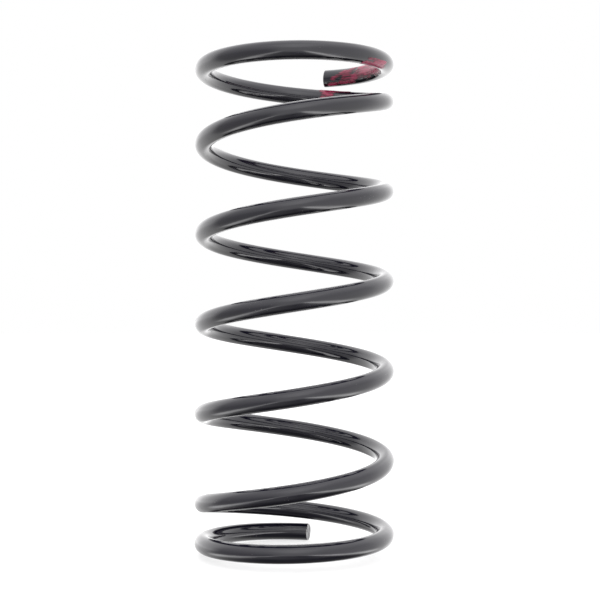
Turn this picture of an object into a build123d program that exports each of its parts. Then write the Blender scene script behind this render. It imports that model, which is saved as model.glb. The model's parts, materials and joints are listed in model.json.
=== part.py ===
from build123d import *
import os
from math import cos, pi, radians, sin

# A coil spring for a vehicle's suspension: one round bar of spring steel, wound right-handed into a cylinder
# of constant diameter, with both ends closed and left unground, and both bar ends sheared nearly square.
#
# Millimetres. +Z runs up the spring's axis. The origin is on the axis, level with the lowest point of the
# lower end coil. +X is to the right of the spring's front and +Y points away from its front.
#
# The bar bends along its whole length when the spring is loaded, so it is made in stretches: a coil at each
# end that stays as it is, and short arcs between them that each sink by their own share of the travel. The
# cuts between stretches are upright planes through the axis, so that neighbours slide past each other in Z.

# Driving dimensions
bar_diameter = 14.0
mean_radius = 70.5  # from the axis to the middle of the bar
pitch = 69.5  # rise per turn between the end coils

# Angles about +Z from +X, in degrees, counted on through all seven turns
lower_tip_angle = 80.5
upper_tip_angle = 2589.0
active_start_angle = 450.0  # where the lower end coil gives way to the active coils

# Lower end coil: a small rise per turn, which then opens out to the full pitch
lower_end_rise = 11.8
lower_seat_turns = 0.525
lower_transition_turns = 0.885

# Upper end coil: the pitch closes to nothing, and the last stretch lies level
upper_seat_turns = 0.24
upper_transition_turns = 1.105

active_turns = 5
arcs_per_turn = 8

# Sheared bar ends: how far they are from square to the bar, with the side next to the axis cut back
shear_slant = 6.0
tip_edge_chamfer = 0.6

# Identification paint. Its edges are angles round the bar, from the side away from the axis (0), down and
# under it (90) to the side that faces the axis (180), and on up.
paint_thickness = 0.3
paint_clearance = 0.01  # between the paint and the bar, so that the two solids never overlap
paint_edges = (20.0, 255.0)
end_paint_angles = (2472.0, 2586.0)
daub_angles = (2207.0, 2238.0)

# Sizes that follow from these
full_turn = 360.0
bar_radius = bar_diameter / 2
wound_turns = (upper_tip_angle - lower_tip_angle) / full_turn
arc_angle = full_turn / arcs_per_turn
active_end_angle = active_start_angle + active_turns * full_turn

# How the centre line is drawn: a point every so many degrees, and some degrees to spare beyond each cut
path_point_spacing = 7.5
cutting_allowance = 4.0

# The round block that is taken away beyond each cut: wider than the bar, but clear of the next coil
cutter_radius = 9.0
cutter_length = 8.0


def ease(share):
    """A smooth change from 0 to 1 as share goes from 0 to 1."""
    held = min(max(share, 0.0), 1.0)
    return held**2 * (3 - 2 * held)


def ease_area(share):
    """The area under ease() from 0 to share."""
    held = min(max(share, 0.0), 1.0)
    return held**3 - held**4 / 2 + max(share - 1.0, 0.0)


def rise(angle):
    """Rise of the centre line per turn at an angle."""
    turns = (angle - lower_tip_angle) / full_turn
    opened = ease((turns - lower_seat_turns) / lower_transition_turns)
    closed = 1 - ease((wound_turns - turns - upper_seat_turns) / upper_transition_turns)
    return lower_end_rise + (pitch - lower_end_rise) * opened - pitch * closed


def height(angle):
    """Height of the centre line at an angle, which adds up rise() from the lower tip."""

    def opened_turns(turns_from_tip, seat_turns, transition_turns):
        return transition_turns * ease_area((turns_from_tip - seat_turns) / transition_turns)

    turns = (angle - lower_tip_angle) / full_turn
    opened = opened_turns(turns, lower_seat_turns, lower_transition_turns)
    not_closed = opened_turns(wound_turns, upper_seat_turns, upper_transition_turns) - opened_turns(
        wound_turns - turns, upper_seat_turns, upper_transition_turns
    )
    closed = turns - not_closed
    return bar_radius + lower_end_rise * turns + (pitch - lower_end_rise) * opened - pitch * closed


def outward(angle):
    """The direction from the axis to the bar at an angle."""
    return (cos(radians(angle)), sin(radians(angle)), 0)


def centre(angle):
    """The point of the centre line at an angle."""
    out = outward(angle)
    return (mean_radius * out[0], mean_radius * out[1], height(angle))


def forward(angle):
    """The direction in which the bar runs at an angle."""
    out = outward(angle)
    return (-mean_radius * out[1], mean_radius * out[0], rise(angle) / (2 * pi))


def shear_plane(angle, way):
    """The plane of a sheared bar end, facing off the bar. way is 1 at its upper end and -1 at its lower."""
    along = Vector(*forward(angle)).normalized() * way * cos(radians(shear_slant))
    inward = Vector(*outward(angle)) * -sin(radians(shear_slant))
    return Plane(origin=centre(angle), z_dir=along + inward)


def upright_plane(angle, way):
    """The upright plane across the bar at an angle, facing on up the bar (way 1) or back down it (-1)."""
    out = outward(angle)
    return Plane(origin=centre(angle), x_dir=out, z_dir=(-way * out[1], way * out[0], 0))


def section_plane(angle):
    """The plane square to the bar at an angle, whose X points away from the axis."""
    return Plane(origin=centre(angle), x_dir=outward(angle), z_dir=forward(angle))


def centre_line(start, end):
    """The bar's centre line from one angle to another, as a smooth curve."""
    steps = max(2, round((end - start) / path_point_spacing))
    angles = [start + (end - start) * step / steps for step in range(steps + 1)]
    return Spline([centre(angle) for angle in angles])


def bar_stretch(start, end, start_is_tip=False, end_is_tip=False):
    """One stretch of the bar, sheared at each end that is a tip and cut upright at the others."""
    start_plane = shear_plane(start, -1) if start_is_tip else upright_plane(start, -1)
    end_plane = shear_plane(end, 1) if end_is_tip else upright_plane(end, 1)
    path_start = start - cutting_allowance
    path_end = end + cutting_allowance
    with BuildPart() as stretch:
        with BuildLine():
            centre_line(path_start, path_end)
        with BuildSketch(section_plane(path_start)):
            Circle(bar_radius)
        sweep()
        with Locations(start_plane, end_plane):
            Cylinder(
                cutter_radius,
                cutter_length,
                align=(Align.CENTER, Align.CENTER, Align.MIN),
                mode=Mode.SUBTRACT,
            )
        for tip, is_tip in ((start, start_is_tip), (end, end_is_tip)):
            if is_tip:
                tip_face = stretch.faces().sort_by_distance(centre(tip))[0]
                chamfer(tip_face.edges(), tip_edge_chamfer)
    return stretch.part


def paint_film(start, end):
    """A thin film of paint on the under and inner side of the bar."""
    first_angle = paint_edges[0]
    reach = paint_edges[1] - paint_edges[0]
    inner_radius = bar_radius + paint_clearance
    with BuildPart() as film:
        with BuildLine():
            centre_line(start, end)
        with BuildSketch(section_plane(start)):
            with BuildLine():
                inner = CenterArc((0, 0), inner_radius, first_angle, reach)
                outer = CenterArc((0, 0), inner_radius + paint_thickness, first_angle, reach)
                Line(inner @ 0, outer @ 0)
                Line(inner @ 1, outer @ 1)
            make_face()
        sweep()
    return film.part


def save(part, name):
    part.label = name
    export_step(part, f"parts/{name}.step")


os.makedirs("parts", exist_ok=True)

# Lower end coil, from the sheared lower tip to the first active arc
save(bar_stretch(lower_tip_angle, active_start_angle, start_is_tip=True), "lower_end_coil")

# Active coils, counted from the bottom, each in arcs counted the way the bar runs
for coil in range(active_turns):
    for arc in range(arcs_per_turn):
        arc_start = active_start_angle + (coil * arcs_per_turn + arc) * arc_angle
        save(bar_stretch(arc_start, arc_start + arc_angle), f"active_coil_{coil + 1}_arc_{arc + 1}")

# Upper end coil, from the last active arc to the sheared upper tip
save(bar_stretch(active_end_angle, upper_tip_angle, end_is_tip=True), "upper_end_coil")

# Identification paint: a long stroke on the upper end coil, and a daub on the coil below it
save(paint_film(*end_paint_angles), "end_coil_paint")
save(paint_film(*daub_angles), "daub_paint")

free_height = height(upper_tip_angle) + bar_radius
print(f"free height {free_height:.1f}, outside diameter {2 * mean_radius + bar_diameter:.1f}")
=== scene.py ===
# The looks of a coil spring for a vehicle's suspension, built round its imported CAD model.
# Metres, in the CAD model's frame: +Z up the spring's axis, +X to the right, +Y away from the front.
import json
from math import atan2, degrees, hypot, pi, radians, tan, tau

import bpy
import numpy as np
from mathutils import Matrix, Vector, noise


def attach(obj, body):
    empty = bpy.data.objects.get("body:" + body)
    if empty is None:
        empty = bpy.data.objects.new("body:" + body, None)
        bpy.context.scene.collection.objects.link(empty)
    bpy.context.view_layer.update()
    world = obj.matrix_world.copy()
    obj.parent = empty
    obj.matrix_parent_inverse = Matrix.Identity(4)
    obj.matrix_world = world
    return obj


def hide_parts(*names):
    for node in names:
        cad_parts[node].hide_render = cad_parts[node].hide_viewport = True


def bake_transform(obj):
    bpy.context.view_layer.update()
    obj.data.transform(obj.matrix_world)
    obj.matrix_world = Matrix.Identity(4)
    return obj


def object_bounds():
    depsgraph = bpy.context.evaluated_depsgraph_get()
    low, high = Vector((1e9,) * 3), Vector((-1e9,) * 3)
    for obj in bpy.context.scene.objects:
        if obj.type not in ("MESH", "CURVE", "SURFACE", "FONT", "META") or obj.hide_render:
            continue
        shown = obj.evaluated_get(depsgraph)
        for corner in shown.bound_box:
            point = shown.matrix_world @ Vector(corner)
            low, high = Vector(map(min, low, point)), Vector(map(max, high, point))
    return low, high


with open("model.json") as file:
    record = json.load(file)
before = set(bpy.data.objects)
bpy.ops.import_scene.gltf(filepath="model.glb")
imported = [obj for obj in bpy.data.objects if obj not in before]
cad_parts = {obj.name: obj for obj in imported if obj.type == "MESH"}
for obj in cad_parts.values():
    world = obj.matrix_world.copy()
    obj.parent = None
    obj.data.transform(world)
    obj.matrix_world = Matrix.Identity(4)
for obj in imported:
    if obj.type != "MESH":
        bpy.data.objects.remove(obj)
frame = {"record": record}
cad_low, cad_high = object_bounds()

# Sizes and places that the frame gives
mounts = {mount["name"]: mount["pos_m"] for mount in frame["record"]["mounts"]}
lower_tip = mounts["lower_bar_end"]
upper_tip = mounts["upper_bar_end"]
mean_radius = hypot(lower_tip[0], lower_tip[1])  # from the axis to the middle of the bar
bar_radius = lower_tip[2] - mounts["lower_seat"][2]
lower_tip_angle = degrees(atan2(lower_tip[1], lower_tip[0]))
whole_turns = 7
upper_tip_angle = degrees(atan2(upper_tip[1], upper_tip[0])) + 360 * whole_turns
wound_turns = (upper_tip_angle - lower_tip_angle) / 360

# How the bar is wound, as in the CAD model. Angles are about +Z from +X, in degrees, counted on.
pitch = 0.0695
lower_end_rise = 0.0118
lower_seat_turns = 0.525
lower_transition_turns = 0.885
upper_seat_turns = 0.24
upper_transition_turns = 1.105
active_start_angle = 450.0
active_turns = 5
arcs_per_turn = 8
arc_angle = 360 / arcs_per_turn
active_end_angle = active_start_angle + 360 * active_turns

# How finely the bar is meshed
around_bar = 48
ring_step = 2.25  # degrees between rings

# Sheared bar ends
shear_slant = radians(6)  # out of square, with the side next to the axis cut back
lower_face_lean = 0.0002  # how far the face's top stands out past its bottom
upper_face_lean = -0.0005
tip_length = 0.004  # the stretch at each end that is shaped by the shear
sharp_roll = 0.00035  # radius of the edge on the side where the shear left
entry_roll = 0.00055  # added to that where the shear came in
burr_height = 0.00018
torn_depth = 0.00016
torn_grain = 0.0011  # across the torn half's coarse grain
smooth_depth = 0.00004
smooth_grain = 0.0022
rim_steps = 5
face_rings = (0.93, 0.84, 0.73, 0.61, 0.49, 0.37, 0.25, 0.13)  # shares of the face's radius
wear_at_edge = 0.6  # how readily the coating is knocked off the sheared edge, against 1 for certainly


def ease(share):
    """A smooth change from 0 to 1 as share goes from 0 to 1."""
    held = np.clip(share, 0, 1)
    return held**2 * (3 - 2 * held)


def ease_area(share):
    """The area under ease() from 0 to share."""
    held = np.clip(share, 0, 1)
    return held**3 - held**4 / 2 + np.maximum(share - 1, 0)


def rise(angle):
    """Rise of the centre line per turn at an angle."""
    turns = (angle - lower_tip_angle) / 360
    opened = ease((turns - lower_seat_turns) / lower_transition_turns)
    closed = 1 - ease((wound_turns - turns - upper_seat_turns) / upper_transition_turns)
    return lower_end_rise + (pitch - lower_end_rise) * opened - pitch * closed


def height(angle):
    """Height of the centre line at an angle, which adds up rise() from the lower tip."""

    def opened_turns(turns_from_tip, seat_turns, transition_turns):
        return transition_turns * ease_area((turns_from_tip - seat_turns) / transition_turns)

    turns = (angle - lower_tip_angle) / 360
    opened = opened_turns(turns, lower_seat_turns, lower_transition_turns)
    not_closed = opened_turns(wound_turns, upper_seat_turns, upper_transition_turns) - opened_turns(
        wound_turns - turns, upper_seat_turns, upper_transition_turns
    )
    closed = turns - not_closed
    return lower_tip[2] + lower_end_rise * turns + (pitch - lower_end_rise) * opened - pitch * closed


def bar_points(angles, radii, turns):
    """Points given by their angle along the bar in degrees, their distance from its middle, and their turn
    round it in radians (0 faces away from the axis, pi / 2 is up), and the directions from its middle."""
    around = np.radians(angles)
    outward = np.stack([np.cos(around), np.sin(around), np.zeros_like(around)], axis=-1)
    forward = np.stack(
        [-mean_radius * np.sin(around), mean_radius * np.cos(around), rise(angles) / tau], axis=-1
    )
    forward /= np.linalg.norm(forward, axis=-1, keepdims=True)
    upward = np.cross(outward, forward)
    middle = mean_radius * outward
    middle[..., 2] = height(angles)
    sideways = np.cos(turns)[..., None] * outward + np.sin(turns)[..., None] * upward
    return middle + radii[..., None] * sideways, sideways


def unwound(angles, radii, turns):
    """The same points with the bar unwound: along it, and the two ways across it. Patterns follow these, so
    that they stay on the steel when the spring moves."""
    along = np.radians(angles - lower_tip_angle) * mean_radius
    return np.stack([along, radii * np.cos(turns), radii * np.sin(turns)], axis=-1)


def grid_faces(rows, columns, wraps=True):
    """Quads between rows of points, each row going on to the next and, if it wraps, round to its start."""
    steps_across = columns if wraps else columns - 1
    row, column = np.meshgrid(np.arange(rows - 1), np.arange(steps_across), indexing="ij")
    here = row * columns + column
    beside = row * columns + (column + 1) % columns
    quads = np.stack([here, here + columns, beside + columns, beside], axis=-1)
    return quads.reshape(-1, 4)


def new_piece(name, points, faces, materials, patterns, normals=None, face_material=None):
    """A mesh object with its materials, pattern attributes and, where they are given, exact normals."""
    mesh = bpy.data.meshes.new(name)
    mesh.from_pydata(points.tolist(), [], [list(map(int, face)) for face in faces])
    for pattern, values in patterns.items():
        kind, member = ("FLOAT_VECTOR", "vector") if values.ndim == 2 else ("FLOAT", "value")
        attribute = mesh.attributes.new(pattern, kind, "POINT")
        attribute.data.foreach_set(member, values.astype(np.float32).ravel())
    for material in materials:
        mesh.materials.append(material)
    if face_material is not None:
        mesh.polygons.foreach_set("material_index", face_material)
    mesh.polygons.foreach_set("use_smooth", [True] * len(mesh.polygons))
    mesh.update()
    if normals is not None:
        mesh.normals_split_custom_set_from_vertices(normals.tolist())
    piece = bpy.data.objects.new(name, mesh)
    bpy.context.scene.collection.objects.link(piece)
    return piece


# ---- materials ---------------------------------------------------------------------------------------------


class Nodes:
    """Builds a node tree, one line for each node."""

    def __init__(self, tree):
        self.tree = tree
        tree.nodes.clear()

    def add(self, kind, inputs=(), **settings):
        """A node with its settings, and its inputs given as {name or number: value or output socket}."""
        node = self.tree.nodes.new(kind)
        for name, value in settings.items():
            setattr(node, name, value)
        for name, value in dict(inputs).items():
            if isinstance(value, bpy.types.NodeSocket):
                self.tree.links.new(value, node.inputs[name])
            else:
                node.inputs[name].default_value = value
        return node

    def attribute(self, name, output):
        return self.add("ShaderNodeAttribute", attribute_name=name).outputs[output]

    def maths(self, operation, *values, clamp=False):
        node = self.add("ShaderNodeMath", dict(enumerate(values)), operation=operation, use_clamp=clamp)
        return node.outputs[0]

    def stretched(self, vector, along, across):
        """The unwound bar's points times along and across, in features per metre."""
        scale = (along, across, across)
        return self.add("ShaderNodeVectorMath", {0: vector, 1: scale}, operation="MULTIPLY").outputs[0]

    def noise(self, vector, detail=0.0, roughness=0.5):
        inputs = {"Vector": vector, "Scale": 1.0, "Detail": detail, "Roughness": roughness}
        return self.add("ShaderNodeTexNoise", inputs).outputs["Fac"]

    def ramp(self, value, low, high, at_low=0.0, at_high=1.0):
        """at_low where value is low or less, at_high where it is high or more, and smooth between them."""
        inputs = {"Value": value, "From Min": low, "From Max": high, "To Min": at_low, "To Max": at_high}
        return self.add("ShaderNodeMapRange", inputs, interpolation_type="SMOOTHSTEP").outputs[0]

    def mix(self, share, first, second):
        """A colour from first, where share is 0, to second, where it is 1."""
        return self.add("ShaderNodeMix", {0: share, 6: first, 7: second}, data_type="RGBA").outputs[2]


def new_material(name):
    material = bpy.data.materials.new(name)
    material.use_nodes = True
    return material, Nodes(material.node_tree)


def close_material(nodes, principled_inputs, relief=None):
    """Ends a material in a principled shader. relief is the height of its fine detail in metres."""
    if relief is not None:
        bump = nodes.add("ShaderNodeBump", {"Height": relief, "Distance": 1.0})
        principled_inputs["Normal"] = bump.outputs[0]
    shader = nodes.add("ShaderNodeBsdfPrincipled", principled_inputs)
    nodes.add("ShaderNodeOutputMaterial", {"Surface": shader.outputs[0]})


def relief_of(nodes, pattern, depth):
    """A pattern from 0 to 1 as a relief that deep, in metres."""
    return nodes.maths("MULTIPLY", pattern, depth)


def coating_material():
    """Smooth black enamel over drawn steel bar: faint waves and drawn lines under it, orange peel, a little
    dust, dull rubbed places, and the steel showing where the coating is knocked off a sheared edge."""
    wave_depth = 0.00020
    drawn_line_depth = 0.000016
    peel_depth = 0.000006
    dust_height = 0.00004
    chip_depth = 0.00005
    rubbed_roughness = 0.14  # each of these is added to the polished coating's roughness
    dust_roughness = 0.4
    worn_roughness = 0.3

    material, nodes = new_material("black_enamel")
    place = nodes.attribute("unwound", "Vector")
    waves = nodes.noise(nodes.stretched(place, 40, 110), detail=3)
    drawn_lines = nodes.noise(nodes.stretched(place, 9, 800), detail=2)
    peel = nodes.noise(nodes.stretched(place, 700, 700), detail=1)
    rubbed = nodes.ramp(nodes.noise(nodes.stretched(place, 30, 260), detail=3), 0.56, 0.74)
    tone = nodes.noise(nodes.stretched(place, 55, 120), detail=2)
    dust_cell = nodes.add("ShaderNodeTexVoronoi", {"Vector": nodes.stretched(place, 420, 420), "Scale": 1.0})
    dust_here = nodes.ramp(nodes.noise(nodes.stretched(place, 60, 60), detail=1), 0.55, 0.7)
    dust_grain = nodes.ramp(dust_cell.outputs["Distance"], 0.05, 0.16, 1, 0)
    dust = nodes.maths("MULTIPLY", dust_here, dust_grain)
    wear_noise = nodes.noise(nodes.stretched(place, 1500, 1500), detail=3)
    worn = nodes.ramp(nodes.maths("ADD", nodes.attribute("edge_wear", "Fac"), wear_noise), 1.02, 1.10)

    black = nodes.mix(tone, (0.0024, 0.0020, 0.0072, 1), (0.0046, 0.0038, 0.0104, 1))
    dusty = nodes.mix(nodes.maths("MULTIPLY", dust, 0.6), black, (0.12, 0.115, 0.11, 1))
    colour = nodes.mix(worn, dusty, (0.34, 0.33, 0.32, 1))
    polish = nodes.ramp(tone, 0.3, 0.7, 0.05, 0.10)
    roughness = nodes.maths("ADD", polish, nodes.maths("MULTIPLY", rubbed, rubbed_roughness))
    roughness = nodes.maths("ADD", roughness, nodes.maths("MULTIPLY", dust, dust_roughness))
    roughness = nodes.maths("ADD", roughness, nodes.maths("MULTIPLY", worn, worn_roughness), clamp=True)
    relief = nodes.maths(
        "ADD", relief_of(nodes, waves, wave_depth), relief_of(nodes, drawn_lines, drawn_line_depth)
    )
    relief = nodes.maths("ADD", relief, relief_of(nodes, peel, peel_depth))
    relief = nodes.maths("ADD", relief, relief_of(nodes, dust, dust_height))
    relief = nodes.maths("SUBTRACT", relief, relief_of(nodes, worn, chip_depth))
    close_material(
        nodes,
        {
            "Base Color": colour,
            "Roughness": roughness,
            "Metallic": nodes.maths("MULTIPLY", worn, 0.8),
            "IOR": 1.5,
        },
        relief,
    )
    return material


def cut_face_material():
    """The sheared face: bare grey steel, torn grains, and black enamel in its low places."""
    material, nodes = new_material("sheared_steel")
    place = nodes.attribute("unwound", "Vector")
    grain = nodes.noise(nodes.stretched(place, 1400, 1400), detail=4, roughness=0.65)
    patches = nodes.noise(nodes.stretched(place, 330, 330), detail=3)
    painted = nodes.ramp(nodes.maths("ADD", patches, nodes.maths("MULTIPLY", grain, 0.3)), 0.60, 0.74)
    steel = nodes.mix(grain, (0.11, 0.11, 0.115, 1), (0.21, 0.21, 0.21, 1))
    close_material(
        nodes,
        {
            "Base Color": nodes.mix(painted, steel, (0.02, 0.019, 0.022, 1)),
            "Roughness": nodes.ramp(grain, 0.3, 0.7, 0.38, 0.6),
            "Metallic": nodes.ramp(painted, 0, 1, 0.75, 0),
        },
        relief_of(nodes, grain, 0.00016),
    )
    return material


def marking_paint_material():
    """Red marking paint brushed on thinly: bright where it is thick, nearly black where the enamel shows."""
    material, nodes = new_material("red_marking_paint")
    place = nodes.attribute("unwound", "Vector")
    thickness = nodes.attribute("film_height", "Fac")
    bristles = nodes.noise(nodes.stretched(place, 30, 2600), detail=2)
    uneven = nodes.maths("MULTIPLY", nodes.maths("SUBTRACT", bristles, 0.5), 0.5)
    cover = nodes.maths("ADD", thickness, uneven)
    thin = nodes.mix(nodes.ramp(cover, 0.0, 0.45), (0.009, 0.003, 0.006, 1), (0.088, 0.005, 0.019, 1))
    close_material(
        nodes,
        {
            "Base Color": nodes.mix(nodes.ramp(cover, 0.4, 1.0), thin, (0.205, 0.012, 0.046, 1)),
            "Roughness": nodes.ramp(bristles, 0.3, 0.7, 0.28, 0.45),
            "IOR": 1.4,
        },
        relief_of(nodes, bristles, 0.00004),
    )
    return material


# ---- the bar -----------------------------------------------------------------------------------------------


def ring_turns():
    return np.arange(around_bar) * tau / around_bar


def arc_piece(node, start, end, coating):
    """One arc of the active coils. Its end rings are its neighbours' too."""
    rings = round((end - start) / ring_step) + 1
    angles = np.repeat(np.linspace(start, end, rings), around_bar)
    turns = np.tile(ring_turns(), rings)
    radii = np.full(len(angles), bar_radius)
    points, normals = bar_points(angles, radii, turns)
    patterns = {"unwound": unwound(angles, radii, turns)}
    piece = new_piece(
        node.replace("active", "bar"), points, grid_faces(rings, around_bar), [coating], patterns, normals
    )
    follow_travel(piece)
    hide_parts(node)


def follow_travel(piece):
    """Bakes the piece's placing into its mesh. A coil spring's bar sinks by how far along it a point lies."""
    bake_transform(piece)


def fractal(points, seed, octaves=3):
    """Noise from about -1 to 1 at each point, with finer noise added to it."""
    shift = Vector((seed * 17.3, seed * 7.1, seed * 3.7))
    values = []
    for point in points:
        place = Vector(point) + shift
        value = 0.0
        for octave in range(octaves):
            value += noise.noise(place * 2**octave) / 2**octave
        values.append(value)
    return np.array(values)


def tip_rings(seed, lean):
    """The shape of a sheared bar end: distances along the bar from its nominal end and from its middle,
    ring by ring from the round bar to the middle of the face. The face leans, with lean metres between its
    top and its bottom. The edge where the shear came in is rolled over, the other edge is sharp with a
    small burr, and the half of the face next to it is torn."""
    turns = ring_turns()
    entry_side = (1 + np.sin(turns)) / 2  # 1 at the top, where the shear came in
    rolled = sharp_roll + entry_roll * entry_side**2
    ragged = fractal(np.stack([3 * np.cos(turns), 3 * np.sin(turns), 0 * turns], axis=-1), seed)
    rolled *= 1 + 0.25 * ragged
    rows = []

    def add_row(radii, along, is_face):
        leaning = lean / (2 * bar_radius) * radii * np.sin(turns) + tan(shear_slant) * radii * np.cos(turns)
        torn = ease((0.35 - radii / bar_radius * np.sin(turns)) / 0.7) if is_face else 0
        across = np.stack([radii * np.cos(turns), radii * np.sin(turns), 0 * turns], axis=-1)
        if is_face:
            along = along + torn_depth * torn * fractal(across / torn_grain, seed + 1)
            along = along + smooth_depth * fractal(across / smooth_grain, seed + 2)
        rows.append((along + leaning, radii))

    whole = np.full(around_bar, bar_radius)
    for share in (0.66, 0.33):
        add_row(whole, -tip_length * share - rolled * (1 - share), False)
    for step in range(rim_steps + 1):
        bend = step / rim_steps * pi / 2
        add_row(bar_radius - rolled * (1 - np.cos(bend)), -rolled * (1 - np.sin(bend)), False)
    burr = burr_height * (1 - entry_side) ** 4 * (1 + ragged)
    along, radii = rows[-1]
    rows[-1] = (along + burr, radii)
    face_radius = bar_radius - rolled
    for share in face_rings:
        add_row(face_radius * share, np.zeros(around_bar), True)
    return rows


def end_coil_piece(name, node, tip_angle, way, other_end, coating, cut_face, seed, lean):
    """An end coil, from its sheared tip to the first or last active arc. way is 1 at the bar's upper end
    and -1 at its lower end."""
    body_start = tip_angle - way * degrees(tip_length / mean_radius)
    rings = round(abs(other_end - body_start) / ring_step) + 1
    ring_angles = np.linspace(other_end, body_start, rings)
    angles = [np.full(around_bar, angle) for angle in ring_angles]
    radii = [np.full(around_bar, bar_radius)] * rings
    rows = tip_rings(seed, lean)
    for along, radius in rows:
        angles.append(tip_angle + way * np.degrees(along / mean_radius))
        radii.append(radius)
    centre_angle = np.mean(angles[-1])
    angles = np.append(np.concatenate(angles), centre_angle)
    radii = np.append(np.concatenate(radii), 0.0)
    ring_count = rings + len(rows)
    turns = np.append(np.tile(ring_turns(), ring_count), 0.0)
    points, normals = bar_points(angles, radii, turns)

    faces = grid_faces(ring_count, around_bar).tolist()
    last_ring = (ring_count - 1) * around_bar
    middle = ring_count * around_bar
    for step in range(around_bar):
        faces.append([last_ring + step, middle, last_ring + (step + 1) % around_bar])
    if way < 0:
        faces = [face[::-1] for face in faces]
    face_start = (rings + len(rows) - len(face_rings) - 1) * around_bar
    face_material = [int(index >= face_start) for index in range(len(faces))]

    shaped = rings * around_bar
    normals[shaped:] = 0  # worked out from the faces
    edge_wear = np.zeros(len(angles))
    rim = slice((rings + 2) * around_bar, (rings + 2 + rim_steps + 1) * around_bar)
    growing_wear = np.sin(np.linspace(0.15, 1, rim_steps + 1) * pi / 2)
    edge_wear[rim] = np.repeat(growing_wear, around_bar) * wear_at_edge
    edge_wear[rim.stop :] = wear_at_edge
    patterns = {"unwound": unwound(angles, radii, turns), "edge_wear": edge_wear}
    piece = new_piece(name, points, faces, [coating, cut_face], patterns, normals, face_material)
    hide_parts(node)
    return piece


coating = coating_material()
cut_face = cut_face_material()
red_paint = marking_paint_material()

lower_coil = end_coil_piece(
    "lower_end_coil_bar",
    "lower_end_coil",
    lower_tip_angle,
    way=-1,
    other_end=active_start_angle,
    coating=coating,
    cut_face=cut_face,
    seed=1,
    lean=lower_face_lean,
)
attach(lower_coil, "lower_end")
upper_coil = end_coil_piece(
    "upper_end_coil_bar",
    "upper_end_coil",
    upper_tip_angle,
    way=1,
    other_end=active_end_angle,
    coating=coating,
    cut_face=cut_face,
    seed=5,
    lean=upper_face_lean,
)
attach(upper_coil, "upper_end")
for coil in range(active_turns):
    for arc in range(arcs_per_turn):
        arc_start = active_start_angle + (coil * arcs_per_turn + arc) * arc_angle
        arc_piece(f"active_coil_{coil + 1}_arc_{arc + 1}", arc_start, arc_start + arc_angle, coating)


# ---- identification paint ----------------------------------------------------------------------------------

film_step = 0.00045  # between the film's points, both ways
film_thickness = 0.00026  # where the paint is thickest
film_root = 0.00022  # how deep its underside lies in the bar, out of sight
film_edge = -0.00004  # film lower than this is left away

# Grain of a brush stroke: streaks along it and blots, in metres
streak_length = 0.014
streak_width = 0.0010
blot_length = 0.006
blot_width = 0.003
stroke_fade = 0.004  # over which a stroke's ends thin out


def film_piece(name, node, angles, turns, cover):
    """A film of paint on the bar. cover is how well it covers each point, from nothing at 0 to thick at 1.
    Its edge is where its upper side dips under the bar's surface."""
    rows, columns = cover.shape
    film = film_thickness * cover
    angle_grid, turn_grid = np.meshgrid(angles, turns, indexing="ij")
    top_radii = bar_radius + film
    under_radii = np.full(film.shape, bar_radius - film_root)
    quads = grid_faces(rows, columns, wraps=False)
    kept = quads[(film.ravel()[quads] > film_edge).any(axis=1)]
    count = rows * columns
    edges = {}
    for quad in kept:
        for here, there in zip(quad, np.roll(quad, -1)):
            edges[(here, there)] = True
    open_edges = [(here, there) for here, there in edges if (there, here) not in edges]
    walls = [[there, here, here + count, there + count] for here, there in open_edges]
    faces = kept.tolist() + (kept[:, ::-1] + count).tolist() + walls
    all_angles = np.tile(angle_grid.ravel(), 2)
    all_turns = np.tile(turn_grid.ravel(), 2)
    all_radii = np.concatenate([top_radii.ravel(), under_radii.ravel()])
    used, numbers = np.unique(np.concatenate([np.ravel(face) for face in faces]), return_inverse=True)
    numbers = iter(numbers.tolist())
    faces = [[next(numbers) for _ in face] for face in faces]
    angles_used, radii_used, turns_used = all_angles[used], all_radii[used], all_turns[used]
    points, _ = bar_points(angles_used, radii_used, turns_used)
    patterns = {
        "unwound": unwound(angles_used, radii_used, turns_used),
        "film_height": np.tile(cover.ravel(), 2)[used],
    }
    piece = new_piece(name, points, faces, [red_paint], patterns)
    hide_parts(node)
    return piece, angles_used


def film_grid(start, end, first_turn, last_turn):
    """The angles and turns of a film's points between two angles along the bar and two turns round it."""
    length = radians(end - start) * mean_radius
    width = (last_turn - first_turn) * bar_radius
    angles = np.linspace(start, end, round(length / film_step) + 1)
    turns = np.linspace(first_turn, last_turn, round(width / film_step) + 1)
    return angles, turns


def stroke(along, across, start, end, middle, half_width, seed):
    """How well one brush stroke covers each point. Everything is in metres along and across the unwound
    bar, and middle is the stroke's own line."""
    flat_along, flat_across = along.ravel(), across.ravel()

    def grain(length, width, grain_seed):
        places = np.stack([flat_along / length, flat_across / width, 0 * flat_along], axis=-1)
        return fractal(places, grain_seed).reshape(along.shape)

    streaks = grain(streak_length, streak_width, seed)
    blots = grain(blot_length, blot_width, seed + 1)
    off_middle = np.abs(across - middle) / half_width
    off_ends = np.maximum(start - along, along - end) / stroke_fade
    body = 1.0 - off_middle**2 - np.clip(off_ends + 1, 0, 4) ** 2
    return body * 0.9 + 0.75 * streaks + 0.45 * blots - 0.25


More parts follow.
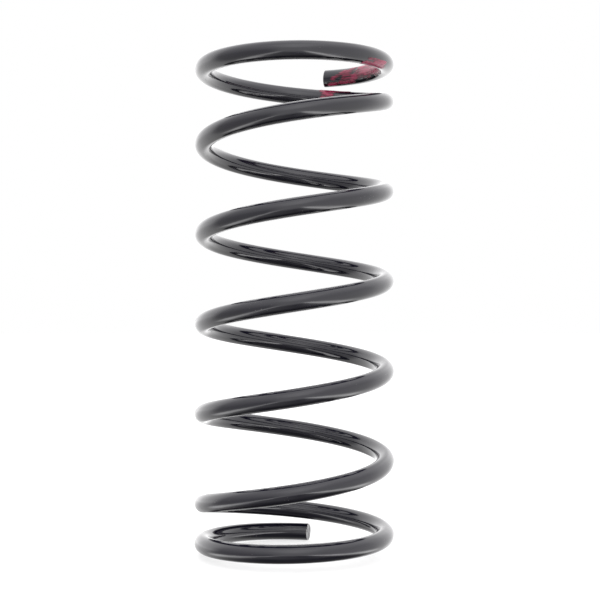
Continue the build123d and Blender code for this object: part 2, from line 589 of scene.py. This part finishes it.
def brushed(start, angles, turns, strokes, seed):
    """How well a set of brush strokes covers a film. Each stroke is given by the angle along the bar and
    the turn round it, in degrees, of its two ends, by half its width in metres, and by how much more or
    less paint it carries."""
    angle_grid, turn_grid = np.meshgrid(angles, turns, indexing="ij")
    along = np.radians(angle_grid - start) * mean_radius
    across = (turn_grid - pi) * bar_radius
    cover = np.full(along.shape, -1.0)
    for number, (first, first_turn, last, last_turn, half_width, load) in enumerate(strokes):
        share = (angle_grid - first) / (last - first)
        middle = radians(first_turn - 180) + radians(last_turn - first_turn) * share
        low, high = sorted(radians(angle - start) * mean_radius for angle in (first, last))
        laid = stroke(along, across, low, high, middle * bar_radius, half_width, seed + 3 * number) + load
        cover = np.maximum(cover, laid)
    return np.clip(cover, -1, 1)


def end_coil_paint():
    """The marks on the under and inner side of the upper end coil, brushed along the bar."""
    start, end = 2473.0, 2586.0
    angles, turns = film_grid(start, end, radians(103), radians(338))
    strokes = (  # angle and turn at one end, angle and turn at the other, half width, load
        (2583, 198, 2560, 118, 0.0024, 0.10),
        (2560, 128, 2540, 134, 0.0036, 0.30),
        (2586, 236, 2577, 228, 0.0024, 0.35),
        (2577, 226, 2561, 226, 0.0024, 0.35),
        (2574, 184, 2532, 178, 0.0060, -0.05),
        (2556, 170, 2530, 186, 0.0036, 0.20),
        (2536, 200, 2500, 214, 0.0036, 0.40),
        (2534, 150, 2508, 160, 0.0024, 0.30),
        (2531, 182, 2494, 186, 0.0050, 0.45),
        (2495, 318, 2481, 308, 0.0036, 0.50),
        (2498, 290, 2473, 284, 0.0028, 0.50),
        (2488, 344, 2475, 336, 0.0022, 0.00),
    )
    cover = brushed(start, angles, turns, strokes, 11)
    piece, _ = film_piece("end_coil_paint_film", "end_coil_paint", angles, turns, cover)
    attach(piece, "upper_end")


def daub_paint():
    """A daub on the coil below, smeared back along the bar's upper side."""
    start, end = 2207.5, 2238.0
    angles, turns = film_grid(start, end, radians(103), radians(285))
    strokes = (  # angle and turn at one end, angle and turn at the other, half width, load
        (2233, 118, 2219, 122, 0.0034, 0.25),
        (2231, 150, 2220, 152, 0.0026, 0.20),
        (2232, 186, 2220, 190, 0.0026, 0.25),
        (2230, 222, 2221, 224, 0.0024, 0.20),
        (2229, 252, 2222, 254, 0.0020, 0.05),
        (2224, 112, 2208, 112, 0.0020, 0.25),
    )
    cover = brushed(start, angles, turns, strokes, 51)
    piece, film_angles = film_piece("daub_paint_film", "daub_paint", angles, turns, cover)
    follow_travel(piece)


end_coil_paint()
daub_paint()


# ---- studio ------------------------------------------------------------------------------------------------

# Light levels round the spring, against the plain white behind it, as (degrees, level). They go round from
# straight up at -180, down the left side to straight down at 0, and up the right side.
front_levels = (
    (-180, 3.0), (-158, 2.6), (-142, 2.0), (-115, 1.5), (-90, 1.0), (-67, 0.95), (-58, 1.0),
    (-51, 1.5), (-46, 3.3), (-40, 3.3), (-35, 1.3),  # left strip
    (-28, 0.9), (-17, 0.8), (-7, 0.7), (12, 0.5), (22, 0.8), (28, 1.2),  # dark below
    (33, 2.8), (37, 6.0), (43, 6.0), (47, 3.4), (54, 2.1),  # right strip
    (61, 1.9), (90, 1.8), (115, 1.8), (142, 2.1), (158, 2.7), (180, 3.0),
)
middle_levels = (
    (-180, 2.3), (-158, 2.0), (-142, 2.05), (-115, 1.5), (-90, 1.0), (-67, 0.9), (-55, 1.1),
    (-50, 1.5), (-45, 4.2), (-37, 4.2), (-32, 1.6),  # left strip
    (-26, 0.6), (-18, 0.3), (-10, 0.2), (10, 0.25), (24, 0.2), (28, 0.4),  # dark below
    (32, 1.4), (37, 5.0), (43, 5.6), (47, 3.2), (54, 2.0),  # right strip
    (61, 1.8), (90, 1.9), (115, 1.8), (142, 2.3), (158, 2.5), (180, 2.3),
)
back_levels = (
    (-180, 1.8), (-158, 1.95), (-142, 2.1), (-115, 2.5), (-90, 2.7), (-77, 2.1), (-60, 1.7), (-43, 1.3),
    (-29, 0.9), (-20, 0.6), (-12, 0.9), (12, 1.2), (29, 1.5),  # dim below
    (40, 1.9), (55, 2.0), (82, 2.1), (115, 2.3), (142, 2.25), (158, 1.6), (180, 1.7),
)
brightest_level = 6.0
front_wall_level = 1.9
back_wall_level = 1.8
light_tint = (1.0, 0.995, 1.0)

# Where one set of levels gives way to the next, as shares of the direction that point away from the front
front_to_middle = (-0.62, -0.3)
middle_to_back = (0.0, 0.4)
from_front_wall = (-1.0, -0.85)
to_back_wall = (0.85, 1.0)

# The board under the floor that the bar reflects, and the point over it from which the light levels are taken
board_depth = 0.15
board_eye_height = 0.35
stage_radius = 8.0
stage_sides = 96


def light_at(nodes, direction):
    """The colour of the light from a direction: a wide soft box overhead that leans towards the front, a
    long pale strip low down on each side, pale walls, and dark under the spring. It changes in three bands
    from the front to the back."""
    parts = nodes.add("ShaderNodeSeparateXYZ", {0: direction}).outputs
    slant = nodes.maths("ARCTAN2", parts[0], nodes.maths("MULTIPLY", parts[2], -1.0))
    round_share = nodes.maths("MULTIPLY_ADD", slant, 1 / tau, 0.5)

    def grey(level):
        share = level / brightest_level
        return (share, share, share, 1)

    def band(levels):
        ramp = nodes.add("ShaderNodeValToRGB", {0: round_share})
        elements = ramp.color_ramp.elements
        for _ in levels[1:-1]:
            elements.new(0.5)
        for element, (degrees_round, level) in zip(elements, levels):
            element.position = degrees_round / 360 + 0.5
            element.color = grey(level)
        return ramp.outputs[0]

    front = band(front_levels)
    middle = band(middle_levels)
    back = band(back_levels)
    away = parts[1]
    nearer = nodes.mix(nodes.ramp(away, *front_to_middle), front, middle)
    round_light = nodes.mix(nodes.ramp(away, *middle_to_back), nearer, back)
    with_front = nodes.mix(nodes.ramp(away, *from_front_wall), grey(front_wall_level), round_light)
    with_back = nodes.mix(nodes.ramp(away, *to_back_wall), with_front, grey(back_wall_level))
    tint = tuple(brightest_level * share for share in light_tint)
    return nodes.add("ShaderNodeVectorMath", {0: with_back, 1: tint}, operation="MULTIPLY").outputs[0]


def stage_disc(name, material, height):
    """A wide level disc round the spring's axis."""
    steps = np.arange(stage_sides) * tau / stage_sides
    across, away = stage_radius * np.cos(steps), stage_radius * np.sin(steps)
    points = np.stack([across, away, 0 * steps + height], axis=-1)
    mesh = bpy.data.meshes.new(name)
    mesh.from_pydata(points.tolist(), [], [list(range(stage_sides))])
    mesh.materials.append(material)
    piece = bpy.data.objects.new(name, mesh)
    bpy.context.scene.collection.objects.link(piece)
    piece.visible_diffuse = False
    return piece


def floor():
    """A plain pale floor of white acrylic lit from below, so that shadows on it are faint. The bar's
    reflections show the reflector board in its place."""
    material, nodes = new_material("pale_floor")
    place = nodes.add("ShaderNodeTexCoord").outputs["Object"]
    mottle = nodes.noise(nodes.stretched(place, 9, 9), detail=4)
    close_material(
        nodes,
        {
            "Base Color": nodes.mix(mottle, (0.24, 0.24, 0.24, 1), (0.26, 0.26, 0.26, 1)),
            "Roughness": nodes.ramp(mottle, 0.3, 0.7, 0.7, 0.8),
            "Emission Color": nodes.mix(mottle, (0.98, 0.98, 0.98, 1), (1.0, 1.0, 1.0, 1)),
            "Emission Strength": 0.7,
        },
    )
    piece = stage_disc("floor", material, cad_low.z)
    piece.visible_glossy = False


def reflector_board():
    """What the bar reflects in place of the floor: a dark board a little below it, with pale strips."""
    material, nodes = new_material("reflector_board")
    place = nodes.add("ShaderNodeTexCoord").outputs["Object"]
    eye = (0, 0, cad_low.z - board_depth + board_eye_height)
    from_eye = nodes.add("ShaderNodeVectorMath", {0: place, 1: eye}, operation="SUBTRACT").outputs[0]
    direction = nodes.add("ShaderNodeVectorMath", {0: from_eye}, operation="NORMALIZE").outputs[0]
    shader = nodes.add("ShaderNodeEmission", {"Color": light_at(nodes, direction), "Strength": 1.0})
    nodes.add("ShaderNodeOutputMaterial", {"Surface": shader.outputs[0]})
    material.cycles.emission_sampling = "NONE"
    piece = stage_disc("reflector_board", material, cad_low.z - board_depth)
    piece.visible_camera = False


def dome():
    """Soft studio light from all round. The camera itself sees it as plain white."""
    world = bpy.data.worlds.new("studio")
    bpy.context.scene.world = world
    world.use_nodes = True
    nodes = Nodes(world.node_tree)
    direction = nodes.add("ShaderNodeTexCoord").outputs["Generated"]
    lit = nodes.add("ShaderNodeBackground", {"Color": light_at(nodes, direction), "Strength": 1.0})
    plain = nodes.add("ShaderNodeBackground", {"Color": (1, 1, 1, 1), "Strength": 1.0})
    seen = nodes.add("ShaderNodeLightPath").outputs["Is Camera Ray"]
    mixed = nodes.add("ShaderNodeMixShader", {0: seen, 1: lit.outputs[0], 2: plain.outputs[0]})
    nodes.add("ShaderNodeOutputWorld", {"Surface": mixed.outputs[0]})


def camera():
    """Level, in front of the spring, close to half its height."""
    eye_distance = 1.1003
    eye_height = 0.19565
    data = bpy.data.cameras.new("camera")
    data.sensor_width = 36.0
    data.lens = 85.0
    data.shift_x = 0.0094
    data.shift_y = 0.0055
    data.clip_start = 0.05
    data.clip_end = 50.0
    piece = bpy.data.objects.new("camera", data)
    piece.location = (0, -eye_distance, eye_height)
    piece.rotation_euler = (pi / 2, 0, 0)
    bpy.context.scene.collection.objects.link(piece)
    bpy.context.scene.camera = piece


floor()
reflector_board()
dome()
camera()
bpy.context.scene.view_settings.view_transform = "Standard"
